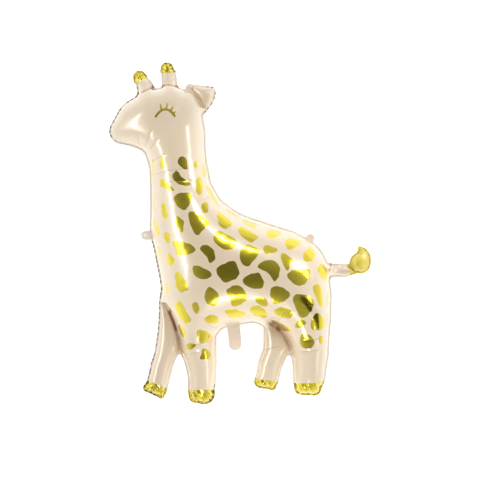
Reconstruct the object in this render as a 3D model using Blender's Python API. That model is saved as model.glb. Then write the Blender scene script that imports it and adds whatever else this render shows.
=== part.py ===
"""Foil balloon cut in the shape of a standing giraffe, lying on its side.

Two flat films share one outline. They are welded along it, and along short weld lines that set
the far legs and the ear apart, and the space between them is filled with air. The film then
stands off the seam as a soap film does: its height squared is the field that bends evenly
everywhere and is zero on the weld, which makes every long narrow limb a round tube.
"""

import math

import bpy
import numpy as np
from mathutils import Vector
from mathutils.geometry import delaunay_2d_cdt
from mathutils.kdtree import KDTree

# Whole figure, in metres
HEIGHT = 1.0

# Film and welds, in metres
FILM_THICKNESS = 0.0005
WELD_MARGIN = 0.0045
WELD_LINE_WIDTH = 0.004
NOTCH_FILLET = 0.0117
BEND_FILLET = 0.004

# Tabs and filling valve, in metres
CHEST_TAB_WIDTH = 0.026
CHEST_TAB_REACH = 0.027
CHEST_HOLE_WIDTH = 0.005
CHEST_HOLE_SETBACK = 0.013
BACK_TAB_WIDTH = 0.025
BACK_TAB_REACH = 0.017
VALVE_WIDTH = 0.037
VALVE_REACH = 0.072
TAB_ROOT = 0.012

# Flat spot that it lies on, in metres
REST_FLATTENING = 0.011

# Facets, in metres
WALK_STEP = 0.002
LONGEST_SIDE = 0.0145
SHORTEST_SIDE = 0.005
MOST_BOW = 0.0004
HOLE_SIDES = 10
ROWS = (0.0032, 0.0095, 0.0185)
ROW_SPACING = 0.0135
FIELD_SPACING = 0.0195
FIELD_SETBACK = 0.0082

# Least room round a point, as a share of the spacing that it is laid at
LEAST_ROOM = 0.62
LEAST_DEPTH = 0.86

# Working values: points taken at once, steps onto a zero line, and the least slope there
BATCH = 10000
SETTLING_STEPS = 4
LEAST_SLOPE = 0.45

# The figure as strips of film. Each strip runs through discs given as
# (across, up, half width), in thousandths of the height above the lowest hoof.
LIMBS = {
    "muzzle": ((-344, 798, 38), (-291, 822, 72), (-242, 826, 96)),
    "neck": (
        (-199, 836, 91),
        (-196, 788, 95),
        (-181, 705, 84),
        (-170, 610, 92),
        (-144, 514, 119),
        (-105, 456, 143),
    ),
    "trunk": (
        (-122, 479, 122),
        (-100, 413, 139),
        (-63, 396, 172),
        (108, 383, 131),
        (146, 385, 112),
    ),
    "rump": ((138, 353, 124), (169, 336, 90)),
    "near_fore_leg": (
        (-94, 400, 134),
        (-127, 294, 102),
        (-133, 217, 64),
        (-114, 125, 46),
        (-110, 66, 40),
    ),
    "near_fore_heel": ((-125, 45, 28), (-105, 24, 23)),
    "near_fore_toes": ((-134, 20, 15), (-98, 30, 24)),
    "far_fore_leg": (
        (-178, 301, 57),
        (-192, 217, 47),
        (-219, 142, 32),
        (-229, 110, 32),
        (-240, 63, 32),
    ),
    "far_fore_toes": ((-270, 49, 13), (-233, 38, 16), (-230, 26, 9)),
    "near_rear_leg": (
        (170, 315, 98),
        (179, 258, 87),
        (205, 148, 54),
        (202, 84, 48),
        (193, 73, 39),
    ),
    "near_rear_toes": ((175, 44, 15), (218, 44, 18)),
    "far_rear_leg": ((90, 305, 79), (104, 245, 35), (105, 160, 37), (87, 113, 36)),
    "far_rear_toes": ((62, 68, 21), (81, 81, 34), (96, 47, 6)),
    "tail": ((233, 392, 22), (306, 391, 18), (328, 387, 8)),
    "tuft": ((351, 413, 31), (359, 426, 23)),
    "tuft_tip": ((360, 443, 13), (350, 456, 6)),
    "ear": ((-123, 878, 34), (-110, 894, 32), (-103, 900, 29), (-85, 913, 15)),
    "ear_corner": ((-128, 911, 22), (-148, 926, 10)),
    "rear_horn": ((-203, 913, 23), (-207, 949, 22), (-198, 961, 11)),
    "rear_horn_tip": ((-213, 977, 19), (-213, 980, 19)),
    "front_horn": ((-276, 898, 20), (-277, 925, 24), (-292, 949, 12)),
    "front_horn_tip": ((-291, 954, 19), (-293, 956, 19)),
}

# Weld lines inside the outline, each from its notch inwards, in thousandths of the height
WELD_LINES = {
    "fore_legs": (
        (-175, 136),
        (-174, 160),
        (-179, 196),
        (-193, 240),
        (-202, 262),
        (-218, 293),
    ),
    "rear_legs": ((145, 133), (150, 154), (146, 172), (130, 202), (102, 230), (90, 238)),
    "ear": ((-165, 921), (-150, 919), (-140, 913), (-128, 902), (-120, 891), (-110, 870)),
}

# Where the tabs and the valve leave the outline: a point inside the body and the way out,
# in thousandths of the height and in degrees from the way across
CHEST_TAB_FROM = (-200, 494, 180)
BACK_TAB_FROM = (180, 440, 61)
VALVE_FROM = (-25, 300, 275)


def discs(strip):
    """Gives a strip's discs in metres, one row each."""
    return np.array(strip, float) * HEIGHT / 1000


def joined(columns, fillet):
    """Joins distance fields, one in each column, rounding the notches between them."""
    distance = columns[:, 0]
    for column in columns.T[1:]:
        blend = np.clip(fillet - np.abs(distance - column), 0, None)
        distance = np.minimum(distance, column) - blend * blend / (4 * fillet)
    return distance


class Strips:
    """Strips of film, each a chain of discs with the two lines that touch both neighbours."""

    def __init__(self, chains, fillet):
        """Takes each chain as rows of across, up and half width, and the fillet of its bends."""
        first = np.concatenate([chain[:-1] for chain in chains])
        second = np.concatenate([chain[1:] for chain in chains])
        ends = np.cumsum([len(chain) - 1 for chain in chains])
        self.spans = [slice(start, end) for start, end in zip((0, *ends[:-1]), ends)]
        self.fillet = fillet
        run = second[:, :2] - first[:, :2]
        self.length = np.hypot(run[:, 0], run[:, 1])
        self.start = first[:, :2]
        self.heading = run / self.length[:, None]
        self.start_radius = first[:, 2]
        self.end_radius = second[:, 2]
        lean = (self.start_radius - self.end_radius) / self.length
        self.lean = np.clip(lean, -0.999, 0.999)
        self.level = np.sqrt(1 - self.lean**2)

    def distances(self, points):
        """Gives how far each point lies outside each strip, one column a strip."""
        across = points[:, 0, None] - self.start[:, 0]
        up = points[:, 1, None] - self.start[:, 1]
        along_axis = across * self.heading[:, 0] + up * self.heading[:, 1]
        off_axis = np.abs(up * self.heading[:, 0] - across * self.heading[:, 1])
        from_x = along_axis - self.start_radius * self.lean
        from_y = off_axis - self.start_radius * self.level
        along_side = from_x * self.level - from_y * self.lean
        side = from_x * self.lean + from_y * self.level
        start = np.hypot(along_axis, off_axis) - self.start_radius
        end = np.hypot(along_axis - self.length, off_axis) - self.end_radius
        past = along_side > self.length * self.level
        gap = np.where(along_side < 0, start, np.where(past, end, side))
        return np.column_stack([joined(gap[:, span], self.fillet) for span in self.spans])


FIGURE = Strips([discs(strip) for strip in LIMBS.values()], BEND_FILLET)
LINES = Strips(
    [discs([(*point, 0) for point in line]) for line in WELD_LINES.values()], FILM_THICKNESS
)


def figure_distance(points):
    """Gives how far each point lies outside the figure's cut edge, without tabs and valve."""
    return joined(FIGURE.distances(points), NOTCH_FILLET)


def air_distance(points):
    """Gives how far each point lies outside the room that holds air."""
    weld = WELD_LINE_WIDTH / 2 - LINES.distances(points).min(axis=1)
    return np.maximum(figure_distance(points) + WELD_MARGIN, weld)


def value_and_slope(field, points):
    """Gives a field's values and slopes at some points."""
    reach = 1e-5
    values = field(points)
    slopes = [
        (field(points + shift) - field(points - shift)) / (2 * reach)
        for shift in (np.array((reach, 0)), np.array((0, reach)))
    ]
    return values, np.column_stack(slopes)


def settled(field, points):
    """Moves points along the field's slope until they lie on its zero line."""
    for _ in range(SETTLING_STEPS):
        values, slopes = value_and_slope(field, points)
        steep = np.maximum((slopes**2).sum(axis=1), LEAST_SLOPE**2)
        points = points - slopes * (values / steep)[:, None]
    return points


def way_out(field, inside, degrees):
    """Finds the field's zero line on a ray that starts inside, and gives point and direction."""
    heading = np.array((math.cos(math.radians(degrees)), math.sin(math.radians(degrees))))
    reach = np.arange(0, HEIGHT, WALK_STEP)
    values = field(inside + reach[:, None] * heading)
    far = np.argmax(values > 0)
    near = far - 1
    share = values[near] / (values[near] - values[far])
    return inside + (reach[near] + share * WALK_STEP) * heading, heading


def tab_strip(start, reach, width):
    """Makes a round-ended tab that leaves the figure's edge and reaches this far beyond it."""
    across, up, degrees = start
    inside = np.array((across, up)) * HEIGHT / 1000
    edge, heading = way_out(figure_distance, inside, degrees)
    root = edge - heading * TAB_ROOT
    tip = edge + heading * (reach - width / 2)
    return np.array(((*root, width / 2), (*tip, width / 2))), edge, heading


CHEST_TAB, CHEST_EDGE, CHEST_HEADING = tab_strip(CHEST_TAB_FROM, CHEST_TAB_REACH, CHEST_TAB_WIDTH)
BACK_TAB, _, _ = tab_strip(BACK_TAB_FROM, BACK_TAB_REACH, BACK_TAB_WIDTH)
VALVE, _, _ = tab_strip(VALVE_FROM, VALVE_REACH, VALVE_WIDTH)
HOLE_CENTRE = CHEST_EDGE + CHEST_HEADING * (CHEST_TAB_REACH - CHEST_HOLE_SETBACK)
TABS = Strips([CHEST_TAB, BACK_TAB, VALVE], FILM_THICKNESS)


def cut_distance(points):
    """Gives how far each point lies outside the cut film, with tabs and valve."""
    columns = np.column_stack((figure_distance(points), TABS.distances(points)))
    return joined(columns, 2 * FILM_THICKNESS)


def grid_over(low, high, spacing):
    """Gives the nodes of a square grid and the triangles that fill it."""
    xs = np.arange(low[0], high[0], spacing)
    ys = np.arange(low[1], high[1], spacing)
    x, y = np.meshgrid(xs, ys)
    corner = (np.arange(len(ys) - 1)[:, None] * len(xs) + np.arange(len(xs) - 1)).ravel()
    above = corner + len(xs)
    lower = np.column_stack((corner, corner + 1, above + 1))
    upper = np.column_stack((corner, above + 1, above))
    return np.column_stack((x.ravel(), y.ravel())), np.concatenate((lower, upper))


def outline(field):
    """Traces the longest closed line where a field is zero, film on the left, at even steps."""
    discs_used = np.concatenate([discs(strip) for strip in LIMBS.values()])
    margin = discs_used[:, 2].max() + CHEST_TAB_REACH + BACK_TAB_REACH
    low = discs_used[:, :2].min(axis=0) - margin
    high = discs_used[:, :2].max(axis=0) + margin
    nodes, triangles = grid_over(low, high, WALK_STEP)
    starts = range(0, len(nodes), BATCH)
    values = np.concatenate([field(nodes[start : start + BATCH]) for start in starts])
    inside = values[triangles] < 0
    crossed = triangles[inside.any(axis=1) & ~inside.all(axis=1)]
    follows = {}
    for triangle in crossed.tolist():
        leaves = enters = None
        for start, end in zip(triangle, triangle[1:] + triangle[:1]):
            if values[start] < 0 <= values[end]:
                leaves = (start, end)
            elif values[end] < 0 <= values[start]:
                enters = (end, start)
        follows[leaves] = enters
    longest = []
    while follows:
        edge, following = follows.popitem()
        loop = [edge]
        while following in follows:
            loop.append(following)
            following = follows.pop(following)
        longest = max(longest, loop, key=len)
    first, second = np.array(longest).T
    share = (values[first] / (values[first] - values[second]))[:, None]
    crossings = settled(field, nodes[first] * (1 - share) + nodes[second] * share)
    return even_steps(crossings, WALK_STEP, field)


def even_steps(loop, step, field):
    """Walks a closed loop again at even steps."""
    closed = np.concatenate((loop, loop[:1]))
    lengths = np.concatenate(([0], np.cumsum(np.linalg.norm(np.diff(closed, axis=0), axis=1))))
    places = np.linspace(0, lengths[-1], int(lengths[-1] / step), endpoint=False)
    even = np.column_stack([np.interp(places, lengths, closed[:, i]) for i in range(2)])
    return settled(field, even)


def thinned(loop, longest, bow):
    """Keeps only the points of a loop that its length and bends call for."""
    kept = [0]
    index = 0
    while index < len(loop) - 1:
        ahead = index + 1
        while ahead + 1 < len(loop):
            chord = loop[ahead + 1] - loop[index]
            length = np.linalg.norm(chord)
            between = loop[index : ahead + 2] - loop[index]
            bulge = np.abs(between[:, 0] * chord[1] - between[:, 1] * chord[0]).max()
            if length > longest or bulge > bow * length:
                break
            ahead += 1
        index = ahead
        kept.append(index)
    if np.linalg.norm(loop[kept[-1]] - loop[0]) < SHORTEST_SIDE:
        kept.pop()
    return loop[kept]


def circle(centre, radius, sides):
    """Gives the corners of a circle, anticlockwise."""
    turns = np.arange(sides) * math.tau / sides
    return centre + radius * np.column_stack((np.cos(turns), np.sin(turns)))


def distance_to(points, others):
    """Gives each point's distance to the nearest of some others."""
    tree = KDTree(len(others))
    for index, other in enumerate(others):
        tree.insert((*other, 0), index)
    tree.balance()
    return np.array([tree.find((*point, 0))[2] for point in points])


def within(points, loop):
    """Tells which points lie inside a closed loop."""
    across, up = points[:, 0, None] - loop[:, 0], points[:, 1, None] - loop[:, 1]
    side = np.roll(loop, -1, axis=0) - loop
    spanned = (up >= 0) != (up >= side[:, 1])
    leftward = (side[:, 0] * up - side[:, 1] * across > 0) == (side[:, 1] > 0)
    return (spanned & leftward).sum(axis=1) % 2 == 1


def room_kept(points, depths, spacings):
    """Picks the points, in order, that don't crowd those picked before them."""
    kept = []
    for index, point in enumerate(points):
        apart = np.abs(depths[kept] - depths[index])
        apart[apart == 0] = spacings[index]
        gaps = np.linalg.norm(points[kept] - point, axis=1)
        if (gaps >= LEAST_ROOM * apart).all():
            kept.append(index)
    return points[kept]


def inner_points(seam):
    """Lays rows of points inside the seam, close together near it, and an even field between."""
    _, normals = value_and_slope(air_distance, seam)
    normals /= np.linalg.norm(normals, axis=1)[:, None]
    stride = round(ROW_SPACING / WALK_STEP)
    laid = []
    for number, depth in enumerate(ROWS):
        shift = (number * stride // 2) % stride
        laid.append(((seam - depth * normals)[shift::stride], depth, ROW_SPACING))
    low = seam.min(axis=0)
    high = seam.max(axis=0)
    rise = FIELD_SPACING * math.sqrt(3) / 2
    for number, y in enumerate(np.arange(low[1], high[1], rise)):
        xs = np.arange(low[0] + (number % 2) * FIELD_SPACING / 2, high[0], FIELD_SPACING)
        line = np.column_stack((xs, np.full(len(xs), y)))
        laid.append((line, ROWS[-1] + FIELD_SETBACK, FIELD_SPACING))
    points = np.concatenate([row for row, _, _ in laid])
    depths = np.concatenate([np.full(len(row), depth) for row, depth, _ in laid])
    spacings = np.concatenate([np.full(len(row), spacing) for row, _, spacing in laid])
    fits = (air_distance(points) < 0) & (distance_to(points, seam) > LEAST_DEPTH * depths)
    return room_kept(points[fits], depths[fits], spacings[fits])


def triangulated(loops, loose):
    """Fills the loops with triangles whose corners are the loops' and the loose points."""
    points = []
    edges = []
    for loop in loops:
        first = len(points)
        points.extend(loop)
        edges.extend((first + i, first + (i + 1) % len(loop)) for i in range(len(loop)))
    points.extend(loose)
    vectors = [Vector(point) for point in points]
    made = delaunay_2d_cdt(vectors, edges, [], 0, 1e-7)
    flat = np.array([tuple(point) for point in made[0]])
    triangles = np.array([face for face in made[2] if len(face) == 3])
    corners = flat[triangles]
    area = np.cross(corners[:, 1] - corners[:, 0], corners[:, 2] - corners[:, 0])
    triangles[area < 0] = triangles[area < 0][:, ::-1]
    return flat, triangles[np.abs(area) > 1e-12]


def height_squared(flat, triangles, held):
    """Solves for the film's height squared: evenly bent inside, zero at the held points."""
    count = len(flat)
    corners = flat[triangles]
    opposite = np.stack([corners[:, (i + 2) % 3] - corners[:, (i + 1) % 3] for i in range(3)], 1)
    area = np.abs(np.cross(opposite[:, 1], opposite[:, 2])) / 2
    stiffness = np.zeros((count, count))
    load = np.zeros(count)
    for i in range(3):
        np.add.at(load, triangles[:, i], 2 * area / 3)
        for j in range(3):
            share = (opposite[:, i] * opposite[:, j]).sum(axis=1) / (4 * area)
            np.add.at(stiffness, (triangles[:, i], triangles[:, j]), share)
    free = np.flatnonzero(~held & (load > 0))
    found = np.zeros(count)
    found[free] = np.linalg.solve(stiffness[np.ix_(free, free)], load[free])
    return np.maximum(found, 0)


def outer_edges(triangles):
    """Gives the directed edges that only one triangle has."""
    directed = np.concatenate((triangles[:, [0, 1]], triangles[:, [1, 2]], triangles[:, [2, 0]]))
    known = {tuple(edge) for edge in directed}
    return [edge for edge in directed if (edge[1], edge[0]) not in known]


def balloon_mesh():
    """Works out the points and the triangles of the whole closed balloon."""
    cut = thinned(outline(cut_distance), LONGEST_SIDE, MOST_BOW)
    fine_seam = outline(air_distance)
    seam = thinned(fine_seam, LONGEST_SIDE, MOST_BOW)
    hole = circle(HOLE_CENTRE, CHEST_HOLE_WIDTH / 2, HOLE_SIDES)
    flat, triangles = triangulated((cut, seam, hole), inner_points(fine_seam))
    centres = flat[triangles].mean(axis=1)
    film = within(centres, cut) & ~within(centres, hole)
    welded = triangles[film & ~within(centres, seam)]
    airy = triangles[film & within(centres, seam)]
    triangles = triangles[film]
    held = np.ones(len(flat), bool)
    held[airy] = False
    held[welded] = True
    rise = np.sqrt(height_squared(flat, airy, held))

    used = np.unique(triangles)
    renumber = np.full(len(flat), -1)
    renumber[used] = np.arange(len(used))
    flat, rise, triangles = flat[used], rise[used], renumber[triangles]
    lowest = rise.max() - REST_FLATTENING
    top = np.column_stack((flat, FILM_THICKNESS + rise))
    bottom = np.column_stack((flat, -FILM_THICKNESS - np.minimum(rise, lowest)))
    count = len(flat)
    rim = []
    for start, end in outer_edges(triangles):
        rim.append((start + count, end + count, end))
        rim.append((start + count, end, start))
    faces = np.concatenate((triangles, triangles[:, ::-1] + count, np.array(rim)))
    return np.concatenate((top, bottom)), faces


def laid_down(points):
    """Puts the lowest point on the floor and centres the outline over the origin."""
    low = points.min(axis=0)
    high = points.max(axis=0)
    return points - np.array(((low[0] + high[0]) / 2, (low[1] + high[1]) / 2, low[2]))


def film_material():
    """Makes the pearly cream film."""
    material = bpy.data.materials.new("cream_film")
    material.use_nodes = True
    shader = material.node_tree.nodes["Principled BSDF"]
    shader.inputs["Base Color"].default_value = (0.86, 0.72, 0.58, 1)
    shader.inputs["Roughness"].default_value = 0.22
    shader.inputs["Metallic"].default_value = 0.15
    return material


def main():
    """Clears the scene and builds the balloon."""
    for old in list(bpy.context.scene.objects):
        bpy.data.objects.remove(old)
    points, faces = balloon_mesh()
    points = laid_down(points)
    mesh = bpy.data.meshes.new("giraffe_balloon")
    mesh.from_pydata(points.tolist(), [], faces.tolist())
    mesh.polygons.foreach_set("use_smooth", [True] * len(mesh.polygons))
    mesh.set_sharp_from_angle(angle=math.radians(50))
    mesh.materials.append(film_material())
    balloon = bpy.data.objects.new("giraffe_balloon", mesh)
    bpy.context.scene.collection.objects.link(balloon)


main()
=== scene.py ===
"""Looks of the giraffe foil balloon: two welded films, filled with air, printed with gold."""

import logging
import math
from dataclasses import dataclass, field
from enum import Enum

import bmesh
import bpy
import numpy as np
from mathutils import Matrix, Vector
from mathutils.kdtree import KDTree

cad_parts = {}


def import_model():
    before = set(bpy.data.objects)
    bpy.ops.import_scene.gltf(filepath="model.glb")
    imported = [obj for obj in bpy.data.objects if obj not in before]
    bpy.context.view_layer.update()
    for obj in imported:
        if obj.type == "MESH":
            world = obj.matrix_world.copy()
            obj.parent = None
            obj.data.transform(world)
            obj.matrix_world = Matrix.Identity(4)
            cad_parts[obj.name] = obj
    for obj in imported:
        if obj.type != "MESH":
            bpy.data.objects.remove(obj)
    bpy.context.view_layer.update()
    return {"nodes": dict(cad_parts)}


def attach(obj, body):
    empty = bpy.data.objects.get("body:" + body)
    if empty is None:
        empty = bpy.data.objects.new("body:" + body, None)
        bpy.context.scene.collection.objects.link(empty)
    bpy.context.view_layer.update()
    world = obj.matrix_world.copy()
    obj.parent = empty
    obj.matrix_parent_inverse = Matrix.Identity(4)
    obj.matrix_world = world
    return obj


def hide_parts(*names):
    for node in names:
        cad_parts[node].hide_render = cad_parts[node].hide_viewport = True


LOG = logging.getLogger("giraffe_balloon")

NODE = "giraffe_balloon"

# Metres
FILM_THICKNESS = 0.0005
HEM_WIDTH = 0.0045
HEM_SLACK = 0.0005
FULL_HEM = 0.007
SAME_PLACE = 1e-6
LEAST_RISE = 1e-5
ON_THE_FLOOR = 2e-4
TIP_SLACK = 0.004
FAR_FROM_SPOTS = 0.05
FAR_FROM_CREASES = 0.02
VIEW_HEIGHT = 3.309
VIEW_MIDDLE = (0.0, -0.0196)

# Millimetres: the ear's lower left corner, and the stretches of hem where painted shade dashes
# lie on its puckers, each as left, right, low and high
EAR_CORNER = (-155, 345)
DASHED_HEM = (
    (-400, -250, 273, 430),
    (-310, -200, -200, -20),
    (-320, -225, -470, -200),
    (-110, -50, 340, 440),
    (250, 290, -200, -118),
    (-105, -60, -500, -440),
    (30, 75, -430, -330),
    (-218, -180, 478, 530),
)

# Names of the attributes that the finishes read
GOLD_GAP = "gold_gap"
FOLD_SHADE = "fold_shade"
# Distance from a long crease, along which a painted shade line is drawn
CREASE_LINE = "crease_line"
FLAT_FILM = "flat_film"
# Painted shade dashes on the hem's puckers
PAINTED_SHADE_DASH = "painted_shade_dash"
# Painted shade in the valleys of the inner weld lines and bold creases
PAINTED_VALLEY_SHADE = "valley_shade"
SATIN_GOLD = "satin_gold"
HEM = "hem"
ARTWORK = "artwork"

Colour = tuple[float, float, float, float]
Place = tuple[float, float]
Span = tuple[float, float]


class Side(Enum):
    """The two films of the balloon, as it lies."""

    UPPER = 1
    LOWER = -1


def millimetres(*values: float) -> np.ndarray:
    """Gives millimetres as an array in metres."""
    return np.array(values, float) / 1000


def way_at(degrees: float) -> np.ndarray:
    """Gives the way, one metre long, that is turned this far from straight across."""
    return np.array((math.cos(math.radians(degrees)), math.sin(math.radians(degrees))))


def leftward(way: np.ndarray) -> np.ndarray:
    """Gives the way a quarter turn to the left of another."""
    return np.array((-way[1], way[0]))


@dataclass(frozen=True)
class Spot:
    """One gold spot of the coat, seen from the side that lies uppermost.

    Lengths are in millimetres from the middle of the figure, and the turn is in degrees.
    """

    across: float
    up: float
    half_length: float
    half_width: float
    turn: float = 0.0
    taper: float = 0.0
    bend: float = 0.0
    fullness: float = 2.2
    probe: float = 1e-5
    least_slope: float = 5.0
    least_taper: float = 0.15
    bend_middle: float = 0.33
    search_share: float = 2.2
    search_margin: float = 10

    def gap(self, points: np.ndarray) -> np.ndarray:
        """Gives how far points lie outside the spot.

        Args:
            points: places on the film, one row each, in metres.

        Returns:
            The distances in metres, negative inside the spot.
        """
        slopes = []
        for step in ((self.probe, 0), (0, self.probe)):
            slopes.append((self._form(points + step) - self._form(points - step)) / (2 * self.probe))
        return self._form(points) / np.maximum(np.hypot(*slopes), self.least_slope)

    def _form(self, points: np.ndarray) -> np.ndarray:
        """Works out the spot's form round the points.

        Args:
            points: places on the film, one row each, in metres.

        Returns:
            A number for each point, zero on the spot's edge and negative inside.
        """
        way = way_at(self.turn)
        offset = points - millimetres(self.across, self.up)
        along = offset @ way / (self.half_length / 1000)
        aside = offset @ leftward(way) / (self.half_width / 1000)
        aside -= self.bend * (along**2 - self.bend_middle)
        aside /= np.maximum(1 + self.taper * along, self.least_taper)
        full = self.fullness
        return (np.abs(along) ** full + np.abs(aside) ** full) ** (1 / full) - 1

    def reach(self) -> float:
        """Gives how far round its middle the spot is looked for, in metres."""
        return (max(self.half_length, self.half_width) * self.search_share + self.search_margin) / 1000


NECK_SPOTS = (
    Spot(-227, 206, 17, 6, -86, 0.2, 0.2, 3.6),
    Spot(-166, 205, 20, 12, -62, -0.3, 0.1),
    Spot(-129, 201, 6, 10, 9),
    Spot(-105, 183, 6, 20),
    Spot(-255, 177, 5, 38),
    Spot(-173, 156, 29, 11, -37, -0.3, 0.7, 3.4),
    Spot(-218, 140, 10, 24, 55, 0.3, 0.7, 1.7),
    Spot(-119, 138, 26, 10, -87),
    Spot(-81, 110, 34, 6, -60),
    Spot(-164, 98, 26, 23, 43, -0.4, -0.2, 2.4),
    Spot(-256, 95, 6, 23),
    Spot(-102, 75, 10, 16),
    Spot(-221, 65, 23, 7, -78, 0, 0.2, 3.6),
)

SHOULDER_SPOTS = (
    Spot(-22, 58, 22, 4, -30),
    Spot(-50, 39, 28, 14, -52, 0.6, 0.4),
    Spot(-121, 30, 27, 33, 36, -0.2, -0.8, 1.7),
    Spot(-175, 29, 12, 23, 16, -0.4, 0.2, 1.7),
    Spot(27, 28, 22, 7, -23, 0.3, 0, 3.6),
    Spot(-246, 21, 29, 6, -71),
    Spot(22, -5, 14, 29, 57, 0.2, -0.2, 3.1),
    Spot(-212, -13, 17, 9, -79, -0.3, 0.2, 1.9),
    Spot(-45, -22, 35, 21, -28, 0, 0.2, 2.7),
    Spot(-167, -46, 21, 30, 76, 0.5, 0.4),
    Spot(-92, -58, 28, 14, -55, -0.1, -0.6, 2.8),
    Spot(-238, -60, 7, 20),
    Spot(24, -65, 31, 24, 64, 0.3, -0.3, 2.9),
    Spot(-201, -78, 11, 17, 16, -0.6, -0.2, 1.9),
    Spot(-34, -113, 27, 31, -65, -0.1, 0, 3.5),
    Spot(-112, -115, 30, 16, -24, -0.1, 0.4, 2.1),
    Spot(-174, -141, 31, 14, -67, 0.5, 0.1, 3),
    Spot(-213, -163, 5, 17),
)

FLANK_SPOTS = (
    Spot(97, -1, 14, 23, -82, 0, -0.3, 1.7),
    Spot(155, -29, 22, 14, 12, -0.4, -0.1, 2.9),
    Spot(86, -48, 12, 21, 86, 0.1, 0.4, 1.8),
    Spot(234, -50, 20, 4, -52),
    Spot(202, -61, 23, 16, 73, -0.3, 0.3, 1.9),
    Spot(139, -80, 16, 19, 26, -0.8, -0.6, 2.6),
    Spot(89, -104, 34, 20, -39, 0, -0.9, 2.7),
    Spot(243, -114, 12, 26, 21, 0.1, 0.3, 2.3),
    Spot(174, -129, 25, 31, -80, -0.45, 0, 2.3),
    Spot(42, -138, 24, 30, 83, -0.3, -0.3, 1.9),
    Spot(-10, -181, 29, 25, -63, 0.1, -0.2, 3.6),
    Spot(113, -181, 27, 29, 89, 0.2, 0.4, 1.7),
    Spot(230, -182, 33, 10, -76, -0.4, -0.1, 3.2),
    Spot(-83, -185, 29, 21, -72, 0.2, 0, 1.7),
    Spot(258, -190, 4, 19),
    Spot(64, -199, 19, 12, -30, 0, -0.2),
    Spot(184, -210, 36, 28, -72, -0.1, -0.5, 1.9),
)

LEG_SPOTS = (
    Spot(-129, -218, 17, 10, -81, -0.2, 0.1),
    Spot(-202, -224, 5, 10),
    Spot(54, -228, 16, 28, 65, -0.2, 0.2, 1.7),
    Spot(-168, -232, 34, 13, -59, 0, 0.2, 3.6),
    Spot(128, -232, 15, 28, 79, -0.1, 0, 2),
    Spot(-15, -236, 13, 30, 83, 0.4, 0, 1.7),
    Spot(-81, -251, 13, 20, 81, -0.2, -0.1, 2.3),
    Spot(258, -254, 4, 22),
    Spot(227, -261, 20, 25, -7, -0.2, -0.3, 2),
    Spot(176, -265, 16, 12, 27, 0.1, -0.2, 1.7),
    Spot(121, -273, 8, 32, 60, 0.5, -0.3, 1.8),
    Spot(-169, -284, 19, 8, -65, 0.2, -0.1, 2.4),
    Spot(-107, -304, 19, 20, 64, 0.7, -0.2, 2.3),
    Spot(236, -311, 6, 12),
    Spot(194, -316, 21, 24, 39, 0.2, -0.1, 1.7),
    Spot(-143, -329, 14, 10, 11, -0.3, 0, 1.7),
    Spot(-171, -345, 6, 13, 10, 0.3, -0.5, 1.7),
    Spot(-102, -353, 16, 13, 85, -0.3, 0.3, 2.8),
)


@dataclass(frozen=True)
class GoldTip:
    """A gold end of a foot or horn: all film past a gently curved line, inside a round reach.

    Lengths are in millimetres, and the way is the direction of the end in degrees.
    """

    across: float
    up: float
    way: float
    reach: float
    sag: float = 0.0

    def gap(self, points: np.ndarray) -> np.ndarray:
        """Gives how far points lie outside the gold end, negative inside it.

        Args:
            points: places on the film, one row each, in metres.

        Returns:
            The distances in metres.
        """
        way = way_at(self.way)
        offset = points - millimetres(self.across, self.up)
        past = offset @ way
        aside = offset @ leftward(way)
        reach = self.reach / 1000
        line = self.sag / 1000 * (1 - (aside / reach) ** 2)
        return np.maximum(line - past, np.hypot(past, aside) - reach)


GOLD_TIPS = (
    GoldTip(-287, 449, 115, 45, -1),
    GoldTip(-209, 469, 93, 45, 0),
    GoldTip(-240, -434, 247, 75, 8),
    GoldTip(-112, -454, 272, 75, 4),
    GoldTip(81, -424, 262, 60, 6),
    GoldTip(199, -430, 272, 75, 8),
)


@dataclass
class TailTuft:
    """The gold tuft at the tail's end: its root line and how far it reaches."""

    across: float = 317
    up: float = -84
    reach: float = 90
    way: float = 12
    fullest: float = 10
    thinning: float = 0.013
    full_share: float = 1.25
    thin_share: float = 0.55
    fade: float = 0.006
    sag: float = -4

    def gap(self, points: np.ndarray) -> np.ndarray:
        """Gives how far points lie outside the tuft, negative inside it."""
        return GoldTip(self.across, self.up, self.way, self.reach, self.sag).gap(points)

    def fullness(self, points: np.ndarray) -> np.ndarray:
        """Works out how full the film is: the tuft is fullest at its root and thins to its end.

        Args:
            points: places on the film, one row each, in metres.

        Returns:
            What the film's height is multiplied by, 1 outside the tuft.
        """
        past = (points - millimetres(self.across, self.up)) @ way_at(self.way) * 1000
        thinned = self.full_share - self.thinning * (past - self.fullest)
        inside = np.clip(0.5 - self.gap(points) / self.fade, 0, 1)
        return 1 + (np.clip(thinned, self.thin_share, self.full_share) - 1) * inside


ENDS = GOLD_TIPS + (TailTuft(),)
SPOTS = NECK_SPOTS + SHOULDER_SPOTS + FLANK_SPOTS + LEG_SPOTS


def gap_of(ends: tuple[GoldTip | TailTuft, ...], places: np.ndarray) -> np.ndarray:
    """Gives how far each place is outside these gold ends, negative inside them."""
    return np.min([end.gap(places) for end in ends], axis=0)


def tip_gap(places: np.ndarray) -> np.ndarray:
    """Gives how far each place is outside all gold ends, negative inside them."""
    return gap_of(ENDS, places)


def spot_gap(places: np.ndarray) -> np.ndarray:
    """Finds how far each place is outside the spots.

    Args:
        places: places on the artwork, one row each, in metres.

    Returns:
        The distances in metres, negative inside a spot and never over 50 millimetres.
    """
    gap = np.full(len(places), FAR_FROM_SPOTS)
    for spot in SPOTS:
        centre = millimetres(spot.across, spot.up)
        near = np.linalg.norm(places - centre, axis=1) < spot.reach()
        gap[near] = np.minimum(gap[near], spot.gap(places[near]))
    return gap


def in_chunks(count: int, size: int = 4000) -> list[slice]:
    """Cuts a long row of points into slices that fit in memory."""
    return [slice(start, start + size) for start in range(0, count, size)]


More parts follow.
